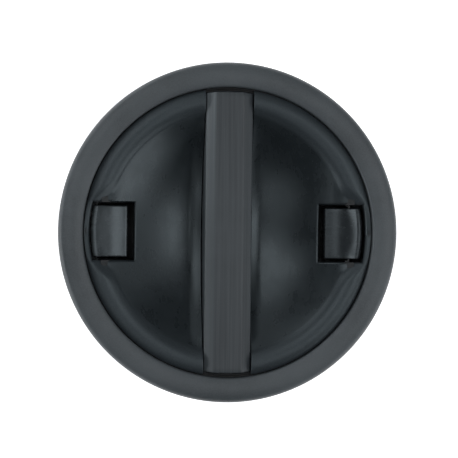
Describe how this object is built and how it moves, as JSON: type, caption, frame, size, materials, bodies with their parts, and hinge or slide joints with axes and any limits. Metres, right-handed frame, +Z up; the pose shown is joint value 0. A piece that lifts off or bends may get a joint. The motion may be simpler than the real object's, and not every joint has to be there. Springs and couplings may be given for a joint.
{
  "type": "desk grommet",
  "caption": "Round press-in desk grommet: a flanged liner and a dished quarter-turn cap with a grip bar and sprung latches seen through windows.",
  "frame": {"origin": "centre of the flange's underside, on the desktop, at the barrel's axis", "axes": "+Z up out of the desk along the barrel's axis; +Y along the grip bar as the cap is dropped in; +X towards the right latch window"},
  "size_m": [0.09, 0.09, 0.0312],
  "materials": {
    "rim_plastic": "fine-textured matte moulding, blue-black",
    "dish_plastic": "smooth semi-gloss moulding, black",
    "bar_plastic": "satin moulding with fine lengthwise draw marks",
    "latch_plastic": "polished by fingertips, dark grey",
    "ring_rubber": "soft black rubber",
    "screw_steel": "zinc-plated",
    "spring_steel": "bright spring wire"
  },
  "bodies": {
    "liner": {"liner": "rim_plastic"},
    "lift_ring": {"seal_ring": "ring_rubber"},
    "cap": {"cap_dish": "dish_plastic", "grip_bar": "bar_plastic", "bar_screws": "screw_steel", "retainer_plate": "rim_plastic", "plate_screws": "screw_steel", "latch_spring_left": "spring_steel", "latch_spring_right": "spring_steel"},
    "latch_left": {"latch_left": "latch_plastic"},
    "latch_right": {"latch_right": "latch_plastic"}
  },
  "joints": [
    {"name": "cap_lift", "type": "slide", "parent": "liner", "child": "lift_ring", "axis": [0, 0, 1], "range_m": [0, 0.05]},
    {"name": "cap_turn", "type": "hinge", "parent": "lift_ring", "child": "cap", "pos_m": [0, 0, 0], "axis": [0, 0, -1], "range_deg": [0, 90]},
    {"name": "latch_left_slide", "type": "slide", "parent": "cap", "child": "latch_left", "axis": [1, 0, 0], "range_m": [0, 0.0014], "stiffness_N_per_m": 900, "springref_m": -0.002, "deforming": ["latch_spring_left"]},
    {"name": "latch_right_slide", "type": "slide", "parent": "cap", "child": "latch_right", "axis": [-1, 0, 0], "range_m": [0, 0.0014], "stiffness_N_per_m": 900, "springref_m": -0.002, "deforming": ["latch_spring_right"]}
  ]
}
